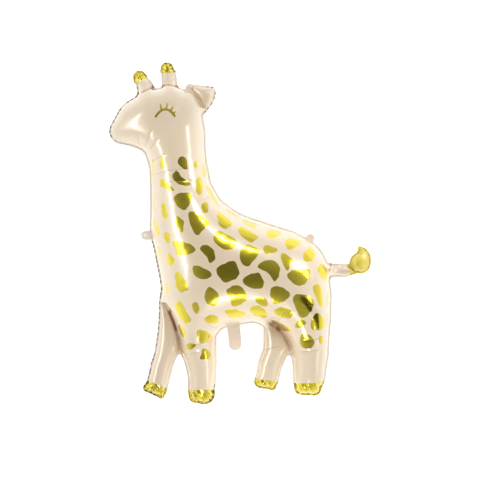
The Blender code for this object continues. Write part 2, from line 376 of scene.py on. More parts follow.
def curve_through(loop: np.ndarray, index: np.ndarray, share: np.ndarray) -> np.ndarray:
    """Gives points on the smooth closed curve through a loop's corners.

    Args:
        loop: the corners in order, one row each.
        index: for each wanted point, the corner before it.
        share: for each wanted point, how far it is towards the next corner, from 0 to 1.

    Returns:
        The points, one row each.
    """
    count = len(loop)
    before = loop[(index - 1) % count]
    start = loop[index % count]
    end = loop[(index + 1) % count]
    after = loop[(index + 2) % count]
    length = np.linalg.norm(end - start, axis=1)[:, None]
    length_before = np.maximum(np.linalg.norm(start - before, axis=1)[:, None], 1e-9)
    length_after = np.maximum(np.linalg.norm(after - end, axis=1)[:, None], 1e-9)
    slope_start = (end - start) / length * length_before + (start - before) / length_before * length
    slope_start /= length + length_before
    slope_end = (after - end) / length_after * length + (end - start) / length * length_after
    slope_end /= length + length_after
    t = share[:, None]
    h00 = 2 * t**3 - 3 * t**2 + 1
    h10 = t**3 - 2 * t**2 + t
    h01 = -2 * t**3 + 3 * t**2
    h11 = t**3 - t**2
    return h00 * start + h10 * length * slope_start + h01 * end + h11 * length * slope_end


def nearest_gap(places: np.ndarray, others: np.ndarray) -> np.ndarray:
    """Measures each place's distance from the nearest of the others.

    Args:
        places: the places that are asked about, one row each.
        others: the places that they are measured from, one row each.

    Returns:
        One distance for each place.
    """
    tree = KDTree(len(others))
    for index, (x, y) in enumerate(others):
        tree.insert((x, y, 0.0), index)
    tree.balance()
    return np.array([tree.find((x, y, 0.0))[2] for x, y in places])


def closed_loops(edges: np.ndarray) -> list[np.ndarray]:
    """Joins directed edges into closed loops.

    Args:
        edges: the vertex numbers at each edge's start and end, one row each.

    Returns:
        The vertex numbers round each loop.
    """
    follows = {int(start): int(end) for start, end in edges}
    loops = []
    while follows:
        start, after = follows.popitem()
        loop = [start]
        while after in follows:
            loop.append(after)
            after = follows.pop(after)
        loops.append(np.array(loop))
    return loops


@dataclass
class CutFilm:
    """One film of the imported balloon, flat as it was cut: its places, heights and triangles."""

    side: Side
    flat: np.ndarray = field(default_factory=lambda: np.zeros((0, 2)))
    rise: np.ndarray = field(default_factory=lambda: np.zeros(0))
    triangles: np.ndarray = field(default_factory=lambda: np.zeros((0, 3), int))
    weld_height: float = 0.0
    edges: list[np.ndarray] = field(default_factory=list)
    seams: list[np.ndarray] = field(default_factory=list)
    weld_line: np.ndarray = field(default_factory=lambda: np.zeros((0, 2)))
    data: bpy.types.Mesh | None = None
    least_corners: int = 6
    line_half_width: float = 0.0027
    tab_reach: float = 0.022
    loop_slack: float = 1e-4
    least_area: float = 1e-12
    least_squared: float = 1e-9

    def read(self, node: bpy.types.Object, cuts: int) -> None:
        """Takes this side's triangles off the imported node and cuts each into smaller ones.

        Args:
            node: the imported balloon.
            cuts: how many times each edge is cut.
        """
        self.data = node.data.copy()
        packed_normals = self.data.attributes.get("custom_normal")
        if packed_normals:
            self.data.attributes.remove(packed_normals)
        work = bmesh.new()
        work.from_mesh(self.data)
        bmesh.ops.remove_doubles(work, verts=work.verts[:], dist=SAME_PLACE)
        self.weld_height = float(np.median([vert.co.z for vert in work.verts]))
        sign = self.side.value
        strangers = [vert for vert in work.verts if (vert.co.z - self.weld_height) * sign < 0]
        bmesh.ops.delete(work, geom=strangers, context="VERTS")
        if not self.edges:
            self._find_edges(work)
        bmesh.ops.subdivide_edges(work, edges=work.edges[:], cuts=cuts, use_grid_fill=True)
        bmesh.ops.triangulate(work, faces=work.faces[:])
        work.to_mesh(self.data)
        work.free()
        points = np.empty((len(self.data.vertices), 3), np.float32)
        self.data.vertices.foreach_get("co", points.ravel())
        points = points.astype(float)
        corners = np.empty(len(self.data.loops), np.int32)
        self.data.loops.foreach_get("vertex_index", corners)
        self.triangles = corners.reshape(-1, 3)[:, ::sign]
        self.flat = points[:, :2]
        self.rise = np.abs(points[:, 2] - self.weld_height) - FILM_THICKNESS
        self._round_edges()

    def _find_edges(self, work: bmesh.types.BMesh) -> None:
        """Finds the cut edges and the seams as loops of places.

        Args:
            work: this side's triangles, before they are cut.
        """
        work.verts.index_update()
        points = np.array([vert.co for vert in work.verts])
        faces = np.array([[vert.index for vert in face.verts] for face in work.faces])
        risen = np.abs(points[:, 2] - self.weld_height) > FILM_THICKNESS + LEAST_RISE
        airy = risen[faces].any(axis=1)
        for group, found in ((faces, self.edges), (faces[airy], self.seams)):
            directed = np.concatenate((group[:, [0, 1]], group[:, [1, 2]], group[:, [2, 0]]))
            known = {(int(a), int(b)) for a, b in directed}
            outer = np.array([edge for edge in directed if (int(edge[1]), int(edge[0])) not in known])
            loops = closed_loops(outer)
            found.extend(points[loop, :2] for loop in loops if len(loop) >= self.least_corners)

    def _round_edges(self) -> None:
        """Moves the points that lie on the loops' straight sides onto smooth curves."""
        for loop in self.edges + self.seams:
            run = np.roll(loop, -1, axis=0) - loop
            squared = (run**2).sum(axis=1)
            low = loop.min(axis=0) - self.loop_slack
            high = loop.max(axis=0) + self.loop_slack
            near = np.flatnonzero(((self.flat > low) & (self.flat < high)).all(axis=1))
            near = near[self.rise[near] < LEAST_RISE]
            for part in in_chunks(len(near)):
                chosen = near[part]
                offset = self.flat[chosen][:, None, :] - loop[None, :, :]
                share = np.clip((offset * run).sum(axis=2) / squared, 0, 1)
                gap = np.linalg.norm(offset - share[:, :, None] * run, axis=2)
                best = gap.argmin(axis=1)
                rows = np.arange(len(chosen))
                on_edge = gap[rows, best] < 2 * SAME_PLACE
                best, shares = best[on_edge], share[rows, best][on_edge]
                self.flat[chosen[on_edge]] = curve_through(loop, best, shares)

    def edge_distance(self, places: np.ndarray) -> np.ndarray:
        """Measures each place's distance from the nearest cut edge.

        Args:
            places: the places that are asked about, one row each.

        Returns:
            One distance for each place.
        """
        dense = [
            curve_through(loop, np.arange(len(loop)), np.full(len(loop), share))
            for loop in self.edges
            for share in (0.0, 0.25, 0.5, 0.75)
        ]
        return nearest_gap(places, np.concatenate(dense))

    def find_weld_line(self) -> None:
        """Finds the points on the weld lines inside the outline, those of the broad tabs left out."""
        welded = self.flat[self.rise <= 0]
        inner = welded[self.edge_distance(welded) > FULL_HEM]
        broad = inner[nearest_gap(inner, self.flat[self.rise > 0]) > self.line_half_width]
        self.weld_line = inner[nearest_gap(inner, broad) > self.tab_reach]

    def inflate(self, rounds: int) -> None:
        """Works out the film's height again on the fine triangles.

        The height squared bends evenly everywhere inside the seam and is zero on it.

        Args:
            rounds: how many rounds of conjugate gradients to run.
        """
        risen = self.rise > SAME_PLACE
        airy = self.triangles[risen[self.triangles].any(axis=1)]
        corners = self.flat[airy]
        sides = [corners[:, (i + 2) % 3] - corners[:, (i + 1) % 3] for i in range(3)]
        area = np.abs(sides[0][:, 0] * sides[1][:, 1] - sides[0][:, 1] * sides[1][:, 0]) / 2
        area = np.maximum(area, self.least_area)
        count = len(self.flat)
        load = np.zeros(count)
        starts, ends, weights = [], [], []
        for i in range(3):
            load += np.bincount(airy[:, i], 2 * area / 3, count)
            j = (i + 1) % 3
            starts.append(airy[:, i])
            ends.append(airy[:, j])
            weights.append(-(sides[i] * sides[j]).sum(axis=1) / (4 * area))
        start, end, weight = map(np.concatenate, (starts, ends, weights))
        scale = np.bincount(start, weight, count) + np.bincount(end, weight, count)
        scale[~risen] = 1.0

        def stretch(values: np.ndarray) -> np.ndarray:
            """Works out the pull of each point's neighbours on it.

            Args:
                values: one value for each point.

            Returns:
                One pull for each point, 0 on the weld.
            """
            pull = weight * (values[start] - values[end])
            total = np.bincount(start, pull, count) - np.bincount(end, pull, count)
            total[~risen] = 0
            return total

        squared = np.where(risen, self.rise**2, 0.0)
        residual = np.where(risen, load, 0.0) - stretch(squared)
        eased = residual / scale
        direction = eased.copy()
        strength = residual @ eased
        for _ in range(rounds):
            pull = stretch(direction)
            step = strength / (direction @ pull)
            squared += step * direction
            residual -= step * pull
            eased = residual / scale
            renewed = residual @ eased
            direction = eased + renewed / strength * direction
            strength = renewed
        self.rise = np.sqrt(np.maximum(squared, self.least_squared)) * risen


@dataclass(frozen=True)
class Fold:
    """One short fold across the weld."""

    root: np.ndarray
    inward: np.ndarray
    size: float
    lift: float
    at_tip: bool
    inner_weld: bool
    dashed: bool


@dataclass
class SeamFolds:
    """Short folds that gather the films along their weld, the same ones in both films."""

    seed: int = 7
    spacing: float = 0.0148
    tip_spacing: float = 0.0150
    depth: float = 0.0017
    tip_depth: float = 0.0034
    shortest: float = 0.010
    longest: float = 0.032
    half_width: float = 0.0024
    tick_half_width: float = 0.0013
    tick_shade: float = 0.25
    ear_calm: float = 0.3
    # Painted shade dashes on the hem, where it puckers away from the lights
    dash_half_length: float = 0.0040
    often_dashed: float = 0.9
    hem_pull: float = 0.0012
    tip_pull: float = 0.0034
    pull_half_width: float = 0.0036
    hem_lift: float = 0.0014
    outward: float = 0.012
    sideways: float = 0.016
    start_run: float = 0.003
    tick_reach: float = 0.006
    dash_start: float = 0.0012
    dash_run: float = 0.001
    fade_share: float = 0.6
    fold_shade: float = 0.3
    weld_line_share: float = 0.3
    most_lean: float = 14
    shortest_seam: int = 60
    spacing_range: Span = (0.75, 1.3)
    size_range: Span = (0.4, 1.0)
    tip_size_range: Span = (0.6, 1.1)
    straight_gather: float = 0.28
    turn_gather: float = 1.5
    search_share: float = 1.6
    inward_share: float = 1.5
    wave_run: float = 0.004
    tip_lift: float = 0.0028
    tick_fullness: float = 1.2
    tick_gain: float = 1.4
    dash_fullness: float = 1.5
    folds: list[Fold] = field(default_factory=list)

    def lay(self, film: CutFilm) -> None:
        """Places the folds along the seams: more where the seam turns, most at the gold ends.

        Args:
            film: the upper film.
        """
        chance = np.random.default_rng(self.seed)
        for loop in film.seams:
            if len(loop) < self.shortest_seam:
                continue
            run = np.roll(loop, -1, axis=0) - loop
            length = np.linalg.norm(run, axis=1)
            reached = np.concatenate(([0], np.cumsum(length)))
            place = 0.0
            while place < reached[-1]:
                index = min(int(np.searchsorted(reached, place, side="right")) - 1, len(loop) - 1)
                share = (place - reached[index]) / length[index]
                root = curve_through(loop, np.array([index]), np.array([share]))[0]
                ahead = loop[(index + 3) % len(loop)] - loop[(index + 1) % len(loop)]
                behind = loop[index] - loop[index - 2]
                turn = math.atan2(behind[0] * ahead[1] - behind[1] * ahead[0], behind @ ahead)
                fold = self._fold(film, root, run[index], turn, chance)
                self.folds.append(fold)
                spacing = self.tip_spacing if fold.at_tip else self.spacing
                place += spacing * chance.uniform(*self.spacing_range)

    def _fold(
        self,
        film: CutFilm,
        root: np.ndarray,
        run: np.ndarray,
        turn: float,
        chance: np.random.Generator,
    ) -> Fold:
        """Shapes one fold.

        Args:
            film: the upper film.
            root: the fold's place on the seam.
            run: the way of the seam there, with the air at its left.
            turn: how far the seam turns there, in radians.
            chance: the source of chance.

        Returns:
            The fold.
        """
        lean = math.degrees(math.atan2(run[0], -run[1]))
        inward = way_at(lean + chance.uniform(-self.most_lean, self.most_lean))
        at_tip = bool(gap_of(GOLD_TIPS, root[None, :])[0] < TIP_SLACK)
        inner_weld = bool(film.edge_distance(root[None, :])[0] > FULL_HEM)
        gathered = min(max(self.straight_gather + self.turn_gather * turn, 0.0), 1.0)
        size = gathered * chance.uniform(*self.size_range)
        if at_tip:
            size = chance.uniform(*self.tip_size_range)
        if inner_weld:
            size *= self.weld_line_share
        if (root > millimetres(*EAR_CORNER)).all():
            size *= self.ear_calm
        across, up = root * 1000
        shown = any(left < across < right and low < up < high for left, right, low, high in DASHED_HEM)
        dashed = shown and not inner_weld and bool(chance.random() < self.often_dashed)
        return Fold(root, inward, size, chance.uniform(-1, 1), at_tip, inner_weld, dashed)

    def press(self, film: CutFilm) -> tuple[np.ndarray, ...]:
        """Works out what the folds do to a film.

        Args:
            film: the inflated film.

        Returns:
            For each point of the film: the depth of the folds, how far the hem is drawn in, how
            far it is lifted, how strong the folds' painted shade is, and where painted shade dashes lie
            on the hem.
        """
        count = len(film.flat)
        dents, shades, lift, dashes = (np.zeros(count) for _ in range(4))
        pull = np.zeros((count, 2))
        order = np.argsort(film.flat[:, 0])
        sorted_across = film.flat[order, 0]
        for fold in self.folds:
            size = fold.size
            reach = self.shortest + (self.longest - self.shortest) * min(size, 1.0)
            searched = self.search_share * reach
            bounds = (fold.root[0] - searched, fold.root[0] + searched)
            first, last = np.searchsorted(sorted_across, bounds)
            rows = order[first:last]
            offset = film.flat[rows] - fold.root
            inner = offset @ fold.inward
            aside = offset @ leftward(fold.inward)
            near = (inner > -self.outward) & (inner < self.inward_share * reach)
            near &= np.abs(aside) < self.sideways
            rows, inner, aside = rows[near], inner[near], aside[near]
            hem = film.rise[rows] <= 0
            run = np.maximum(inner, 0) / reach
            bell = np.exp(-((aside / (self.half_width * (1 + run))) ** 2))
            start = np.clip((inner + self.start_run / 3) / self.start_run, 0, 1)
            form = size * np.exp(-((run / self.fade_share) ** 2)) * start * bell
            dents[rows] = np.maximum(dents[rows], (self.tip_depth if fold.at_tip else self.depth) * form)
            drawn = size * np.clip(1 + inner / self.outward, 0, 1) * hem
            drawn *= np.exp(-((aside / self.pull_half_width) ** 2))
            drawn *= self.tip_pull if fold.at_tip else self.hem_pull
            pull[rows] += drawn[:, None] * fold.inward
            wave = np.clip(-inner / self.wave_run, 0, 1) * bell * hem
            lift[rows] += (self.tip_lift if fold.at_tip else self.hem_lift) * fold.lift * wave
            # Painted shade over each fold
            shade = self.fold_shade * form
            # Painted shade ticks where the fold meets the hem
            if not fold.inner_weld:
                tick = np.exp(-((aside / self.tick_half_width) ** 2))
                tick *= np.clip(self.tick_fullness - np.abs(inner) / self.tick_reach, 0, 1)
                tick *= self.tick_shade * min(size * self.tick_gain, 1.0)
                shade = np.maximum(shade, tick)
            shades[rows] = np.maximum(shades[rows], shade)
            # Painted shade dashes on the hem
            if fold.dashed:
                dash = np.clip(self.dash_fullness - np.abs(aside) / self.dash_half_length, 0, 1)
                dash *= np.clip((-self.dash_start - inner) / self.dash_run, 0, 1)
                dashes[rows] = np.maximum(dashes[rows], dash)
        return dents, pull, lift, shades, dashes


@dataclass(frozen=True)
class Crease:
    """One long fold in the film, along a curve through three places in millimetres."""

    start: Place
    middle: Place
    end: Place
    depth: float = 1.4
    # A bold crease also gets a painted shade line
    bold: bool = False
    steps: int = 24
    fade_share: float = 0.15

    def trace(self, points: np.ndarray) -> tuple[np.ndarray, np.ndarray]:
        """Follows the crease past the points.

        Args:
            points: places on the artwork, one row each.

        Returns:
            For each point: its distance from the crease in metres, positive to the crease's left,
            and the crease's strength beside it, from 0 at its ends to 1.
        """
        first, second, third = (millimetres(*place) for place in (self.start, self.middle, self.end))
        steps = np.linspace(0, 1, self.steps + 1)[:, None]
        bow = 2 * second - (first + third) / 2
        line = (1 - steps) ** 2 * first + 2 * steps * (1 - steps) * bow + steps**2 * third
        nearest = np.full(len(points), np.inf)
        signed = np.full(len(points), np.inf)
        where = np.zeros(len(points))
        for i in range(self.steps):
            run = line[i + 1] - line[i]
            offset = points - line[i]
            share = np.clip(offset @ run / (run @ run), 0, 1)
            gap = np.linalg.norm(offset - share[:, None] * run, axis=1)
            closer = gap < nearest
            nearest[closer] = gap[closer]
            turned = run[0] * offset[:, 1] - run[1] * offset[:, 0]
            signed[closer] = np.copysign(gap, turned)[closer]
            where[closer] = ((i + share) / self.steps)[closer]
        return signed, np.clip(np.minimum(where, 1 - where) / self.fade_share, 0, 1)


CREASES = (
    Crease((-232, 425), (-211, 434), (-178, 426), 3.2, bold=True),
    Crease((-291, 409), (-269, 421), (-247, 425), 3.2, bold=True),
    Crease((262, -72), (265, -92), (260, -112), 1.6, bold=True),
    Crease((271, -80), (276, -94), (273, -108)),
    Crease((285, -84), (283, -94), (286, -106), 1.0),
    Crease((-297, 287), (-296, 270), (-295, 254)),
    Crease((-257, 302), (-270, 272), (-277, 251)),
    Crease((-231, 283), (-250, 262), (-263, 245)),
    Crease((-210, 233), (-234, 222), (-257, 210)),
    Crease((-248, 172), (-201, 184), (-146, 188)),
    Crease((-219, 147), (-178, 154), (-134, 156)),
    Crease((-108, 98), (-98, 102), (-88, 106)),
    Crease((-108, -244), (-82, -273), (-53, -267), 1.8),
    Crease((-158, -326), (-110, -322), (-73, -303), 1.8),
    Crease((-146, -352), (-131, -349), (-117, -346)),
    Crease((131, -227), (121, -245), (111, -262)),
    Crease((184, -311), (205, -312), (228, -308)),
    Crease((175, -346), (205, -345), (233, -340)),
    Crease((68, -338), (90, -336), (112, -330), 1.8),
)


@dataclass(frozen=True)
class Unevenness:
    """An uneven field over the film: some waves laid over one another."""

    length: float
    seed: int
    waves: int = 9
    sharp: bool = False
    length_range: Span = (0.7, 1.5)

    def values(self, points: np.ndarray) -> np.ndarray:
        """Works out the field.

        Args:
            points: places on the film, one row each.

        Returns:
            One value for each place, between about -1 and 1, with sharp crests where asked for.
        """
        chance = np.random.default_rng(self.seed)
        total = np.zeros(len(points))
        for _ in range(self.waves):
            heading = math.degrees(chance.uniform(0, 2 * math.pi))
            length = self.length * chance.uniform(*self.length_range)
            phase = chance.uniform(0, 2 * math.pi)
            wave = np.sin(points @ way_at(heading) * 2 * math.pi / length + phase)
            total += 1 - 2 * np.abs(wave) if self.sharp else wave
        return total / math.sqrt(self.waves)


@dataclass
class Panel:
    """One of the two films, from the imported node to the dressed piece."""

    side: Side
    name: str
    cuts: int
    crease_width: float = 0.0028
    # Widths of the painted shade along the inner weld lines and along bold creases
    valley_shade_width: float = 0.0013
    bold_width: float = 0.0024
    crease_reach: float = 0.004
    tip_softness: float = 0.008
    tuft_softness: float = 0.004
    deepest_share: float = 0.45
    swell_height: float = 0.00010
    crumple_height: float = 0.0013
    wave_height: float = 0.0017
    wobble_height: float = 0.0007
    # Where the painted shade dashes end towards the cut edge
    dash_edge: float = 0.0044
    dash_softness: float = 0.0008
    flat_satin: float = 0.5
    sharp_degrees: float = 60
    crumple: Unevenness = Unevenness(0.042, 3, waves=2, sharp=True)
    swell: Unevenness = Unevenness(0.034, 5)
    wobble: Unevenness = Unevenness(0.020, 11)
    hem_wave: Unevenness = Unevenness(0.017, 13, waves=5)
    film: CutFilm | None = None

    def inflate(self, node: bpy.types.Object, twin: CutFilm | None = None) -> None:
        """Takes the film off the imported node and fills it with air.

        Args:
            node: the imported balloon.
            twin: the other film, cut to the same edges and seams, where it is known already.
        """
        self.film = CutFilm(self.side)
        if twin:
            self.film.edges = twin.edges
            self.film.seams = twin.seams
        self.film.read(node, self.cuts)
        self.film.inflate(rounds=220)
        self.film.rise *= TailTuft().fullness(self.film.flat)
        if twin:
            self.film.weld_line = twin.weld_line
        else:
            self.film.find_weld_line()

    def build(self, folds: SeamFolds, material: bpy.types.Material) -> bpy.types.Object:
        """Makes the panel's piece.

        Args:
            folds: the folds along the weld.
            material: the film's finish.

        Returns:
            The panel's object.
        """
        film = self.film
        artwork = self._artwork()
        dents, pull, lift, shade, dashes = folds.press(film)
        signed, strength, bold = self._creases(artwork)
        dents = np.maximum(dents, strength * np.exp(-np.abs(signed) / self.crease_width))
        tips = np.clip(0.5 - gap_of(GOLD_TIPS, artwork) / self.tip_softness, 0, 1)
        dents += self.crumple_height * tips * (1 + self.crumple.values(film.flat))
        dents += self.swell_height * (1 + self.swell.values(film.flat))
        pressed = np.minimum(dents, self.deepest_share * film.rise)
        piece = self._object(self._raised(pressed, pull, lift + self._hem_waves()), artwork, material)
        flat = film.rise <= 0
        spots = spot_gap(artwork) + FAR_FROM_SPOTS * flat
        spots += self.wobble_height * self.wobble.values(artwork)
        # Painted shade along the inner weld lines
        valley_shade = np.exp(-nearest_gap(film.flat, film.weld_line) / self.valley_shade_width)
        from_edge = self._from_edge()
        creased = (np.abs(signed) < 2 * self.crease_reach) & (strength > 0)
        tuft = np.clip(0.5 - TailTuft().gap(artwork) / self.tuft_softness, 0, 1)
        marks = {
            GOLD_GAP: np.minimum(spots, tip_gap(artwork)),
            # Painted shade of the valleys and the bold creases
            PAINTED_VALLEY_SHADE: np.maximum(valley_shade, bold),
            FOLD_SHADE: shade,
            # Painted shade dashes on the hem
            PAINTED_SHADE_DASH: dashes * np.clip((self.dash_edge - from_edge) / self.dash_softness, 0, 1),
            CREASE_LINE: np.where(creased, signed, FAR_FROM_CREASES),
            FLAT_FILM: flat,
            SATIN_GOLD: np.maximum(tuft, self.flat_satin * flat),
            HEM: from_edge < HEM_WIDTH + HEM_SLACK,
        }
        for name, values in marks.items():
            self._store(piece, name, values)
        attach(piece, "root")
        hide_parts(NODE)
        LOG.info("%s: %d triangles", piece.name, len(piece.data.polygons))
        return piece

    def _from_edge(self) -> np.ndarray:
        """Measures how far each flat point is from the cut edge.

        Returns:
            One distance for each point, and a whole metre on the airy film.
        """
        film = self.film
        distance = np.ones(len(film.flat))
        rows = np.flatnonzero(film.rise <= 0)
        distance[rows] = film.edge_distance(film.flat[rows])
        return distance

    def _hem_waves(self) -> np.ndarray:
        """Works out how the gold ends' hem waves up and down, most at its cut edge.

        Returns:
            How far each point of the film is lifted.
        """
        film = self.film
        lift = np.zeros(len(film.flat))
        rows = np.flatnonzero((film.rise <= 0) & (tip_gap(film.flat) < TIP_SLACK))
        places = film.flat[rows]
        share = np.clip(1 - film.edge_distance(places) / HEM_WIDTH, 0, 1)
        lift[rows] = self.wave_height * share * self.hem_wave.values(places)
        return lift

    def _artwork(self) -> np.ndarray:
        """Finds each point's place on the flat artwork, drawn as the filled balloon is seen.

        Returns:
            The places, one row each.
        """
        middle = np.array(VIEW_MIDDLE)
        nearer = VIEW_HEIGHT / (VIEW_HEIGHT - self.film.rise)
        return middle + (self.film.flat - middle) * nearer[:, None]

    def _creases(self, artwork: np.ndarray) -> tuple[np.ndarray, np.ndarray, np.ndarray]:
        """Lays the long creases over the film.

        Args:
            artwork: each point's place on the artwork.

        Returns:
            For each point: the nearest crease's signed distance, its depth beside the point, and
            how strongly a bold crease's painted shade line covers the point, from 0 to 1.
        """
        signed = np.full(len(artwork), np.inf)
        depth = np.zeros(len(artwork))
        bold = np.zeros(len(artwork))
        for crease in CREASES:
            gap, strength = crease.trace(artwork)
            closer = np.abs(gap) < np.abs(signed)
            signed[closer] = gap[closer]
            depth[closer] = strength[closer] * crease.depth / 1000
            # Bold creases get a painted shade line
            if crease.bold:
                line = np.exp(-((gap / self.bold_width) ** 2))
                bold = np.maximum(bold, np.minimum(2 * strength, 1) * line)
        return signed, depth, bold

    def _raised(self, pressed: np.ndarray, pull: np.ndarray, lift: np.ndarray) -> np.ndarray:
        """Stands the film off the weld.

        Args:
            pressed: how deep the film is pressed at each point.
            pull: how far each point is drawn in along the floor, one row each.
            lift: how far each point is lifted.

        Returns:
            The finished places of the points, one row each.
        """
        film = self.film
        rise = film.rise
        if self.side is Side.LOWER:
            rise = np.minimum(rise, film.weld_height - FILM_THICKNESS)
        height = film.weld_height + self.side.value * (FILM_THICKNESS + rise)
        points = np.column_stack((film.flat, height))
        resting = (film.rise <= 0) | (points[:, 2] < ON_THE_FLOOR)
        pressed = np.where(resting, 0.0, pressed)[:, None]
        points -= pressed * vertex_normals(points, film.triangles)
        points[:, :2] += pull
        points[:, 2] += lift
        return points

    def _object(
        self, points: np.ndarray, artwork: np.ndarray, material: bpy.types.Material
    ) -> bpy.types.Object:
        """Makes the object, with the half of the rim that joins it to the other film.

        Args:
            points: the finished places of the film's points.
            artwork: their places on the artwork.
            material: the film's finish.

        Returns:
            The object, in the scene.
        """
        mesh = self.film.data
        mesh.name = self.name
        mesh.vertices.foreach_set("co", points.astype(np.float32).ravel())
        work = bmesh.new()
        work.from_mesh(mesh)
        rim = [edge for edge in work.edges if edge.is_boundary]
        made = bmesh.ops.extrude_edge_only(work, edges=rim)
        for item in made["geom"]:
            if isinstance(item, bmesh.types.BMVert):
                item.co.z -= self.side.value * FILM_THICKNESS
        bmesh.ops.recalc_face_normals(work, faces=work.faces[:])
        top = max(work.faces, key=lambda face: self.side.value * face.calc_center_median().z)
        if top.normal.z * self.side.value < 0:
            bmesh.ops.reverse_faces(work, faces=work.faces[:])
        for face in work.faces:
            face.smooth = True
        work.to_mesh(mesh)
        work.free()
        mesh.set_sharp_from_angle(angle=math.radians(self.sharp_degrees))
        self._lay_artwork(mesh, artwork)
        mesh.materials.clear()
        mesh.materials.append(material)
        piece = bpy.data.objects.new(self.name, mesh)
        bpy.context.scene.collection.objects.link(piece)
        return piece

    def _lay_artwork(self, mesh: bpy.types.Mesh, artwork: np.ndarray) -> None:
        """Keeps the artwork's places as the mesh's UV map, in metres.

        Args:
            mesh: the finished mesh.
            artwork: the places of the film's points.
        """
        corners = np.empty(len(mesh.loops), np.int32)
        mesh.loops.foreach_get("vertex_index", corners)
        everywhere = np.concatenate((artwork, self._beside(mesh, artwork))).astype(np.float32)
        layer = mesh.uv_layers.new(name=ARTWORK)
        layer.data.foreach_set("uv", everywhere[corners].ravel())

    def _beside(self, mesh: bpy.types.Mesh, values: np.ndarray) -> np.ndarray:
        """Finds the values of the rim's points, which follow the film's points in the mesh.

        Args:
            mesh: the finished mesh.
            values: the values of the film's points.

        Returns:
            For each point of the rim, the value of the film's point that it hangs from.
        """
        edges = np.empty(len(mesh.edges) * 2, np.int32)
        mesh.edges.foreach_get("vertices", edges)
        edges = np.sort(edges.reshape(-1, 2), axis=1)
        count = len(values)
        crossing = edges[(edges[:, 0] < count) & (edges[:, 1] >= count)]
        gathered = np.zeros((len(mesh.vertices) - count, *values.shape[1:]))
        gathered[crossing[:, 1] - count] = values[crossing[:, 0]]
        return gathered

    def _store(self, piece: bpy.types.Object, name: str, values: np.ndarray) -> None:
        """Keeps one number for each point of the piece, the rim's points included.

        Args:
            piece: the piece.
            name: the attribute's name.
            values: the numbers of the film's points.
        """
        full = np.concatenate((values, self._beside(piece.data, values))).astype(np.float32)
        attribute = piece.data.attributes.new(name, "FLOAT", "POINT")
        attribute.data.foreach_set("value", full)


def vertex_normals(points: np.ndarray, triangles: np.ndarray) -> np.ndarray:
    """Works out each point's normal from the triangles round it, weighted by their area.

    Args:
        points: the points, one row each.
        triangles: the numbers of each triangle's corners, one row each.

    Returns:
        The normals, one metre long, one row each.
    """
    corners = points[triangles]
    face = np.cross(corners[:, 1] - corners[:, 0], corners[:, 2] - corners[:, 0])
    total = np.zeros_like(points)
    for i in range(3):
        for axis in range(3):
            total[:, axis] += np.bincount(triangles[:, i], face[:, axis], len(points))
    length = np.linalg.norm(total, axis=1)[:, None]
    return total / np.maximum(length, 1e-12)


class Nodes:
    """Adds shader nodes and links them in few words."""

    def __init__(self, tree: bpy.types.NodeTree) -> None:
        """Works on one node tree."""
        self.tree = tree

    def add(self, kind: str, **values: object) -> bpy.types.Node:
        """Adds a node.

        Args:
            kind: the node's type.
            values: its properties.

        Returns:
            The node.
        """
        node = self.tree.nodes.new(kind)
        for name, value in values.items():
            setattr(node, name, value)
        return node

    def link(self, source: bpy.types.NodeSocket, target: bpy.types.NodeSocket) -> None:
        """Links an output to an input."""
        self.tree.links.new(source, target)

    def fill(self, sockets: list[bpy.types.NodeSocket], values: tuple[object, ...]) -> None:
        """Links or sets some inputs.

        Args:
            sockets: the inputs.
            values: what goes in each, a socket or a plain value.
        """
        for socket, value in zip(sockets, values):
            if isinstance(value, bpy.types.NodeSocket):
                self.link(value, socket)
            else:
                socket.default_value = value

    def math(self, operation: str, *inputs: object) -> bpy.types.NodeSocket:
        """Adds a Math node.

        Args:
            operation: the node's operation.
            inputs: sockets or plain numbers, in order.

        Returns:
            The node's output.
        """
        node = self.add("ShaderNodeMath", operation=operation)
        self.fill(node.inputs[:], inputs)
        return node.outputs[0]

    def vector(self, operation: str, *inputs: object) -> bpy.types.NodeSocket:
        """Adds a Vector Math node.

        Args:
            operation: the node's operation.
            inputs: sockets or plain vectors, in order.

        Returns:
            The node's number for a product or a distance, and its vector for the rest.
        """
        node = self.add("ShaderNodeVectorMath", operation=operation)
        self.fill(node.inputs[:], inputs)
        gives_number = operation in ("DOT_PRODUCT", "DISTANCE")
        return node.outputs["Value" if gives_number else "Vector"]

    def clamped(self, value: bpy.types.NodeSocket) -> bpy.types.NodeSocket:
        """Holds a value between 0 and 1."""
        return self.math("MINIMUM", self.math("MAXIMUM", value, 0.0), 1.0)

    def mix(self, factor: object, first: object, second: object) -> bpy.types.NodeSocket:
        """Mixes two colours.

        Args:
            factor: how much of the second there is.
            first: a socket or colour.
            second: a socket or colour.

        Returns:
            The mixed colour.
        """
        node = self.add("ShaderNodeMix", data_type="RGBA")
        self.fill([node.inputs[0], node.inputs[6], node.inputs[7]], (factor, first, second))
        return node.outputs[2]

    def attribute(self, name: str) -> bpy.types.NodeSocket:
        """Reads a number kept on the mesh."""
        return self.add("ShaderNodeAttribute", attribute_name=name).outputs["Fac"]


def new_group(name: str, inputs: dict[str, str], outputs: dict[str, str]) -> bpy.types.NodeTree:
    """Makes a shader node group with named sockets.

    Args:
        name: the group's name.
        inputs: each input's name and socket type.
        outputs: each output's name and socket type.

    Returns:
        The empty group.
    """
    group = bpy.data.node_groups.new(name, "ShaderNodeTree")
    for label, kind in inputs.items():
        group.interface.new_socket(label, in_out="INPUT", socket_type=kind)
    for label, kind in outputs.items():
        group.interface.new_socket(label, in_out="OUTPUT", socket_type=kind)
    return group


FLOAT = "NodeSocketFloat"
VECTOR = "NodeSocketVector"


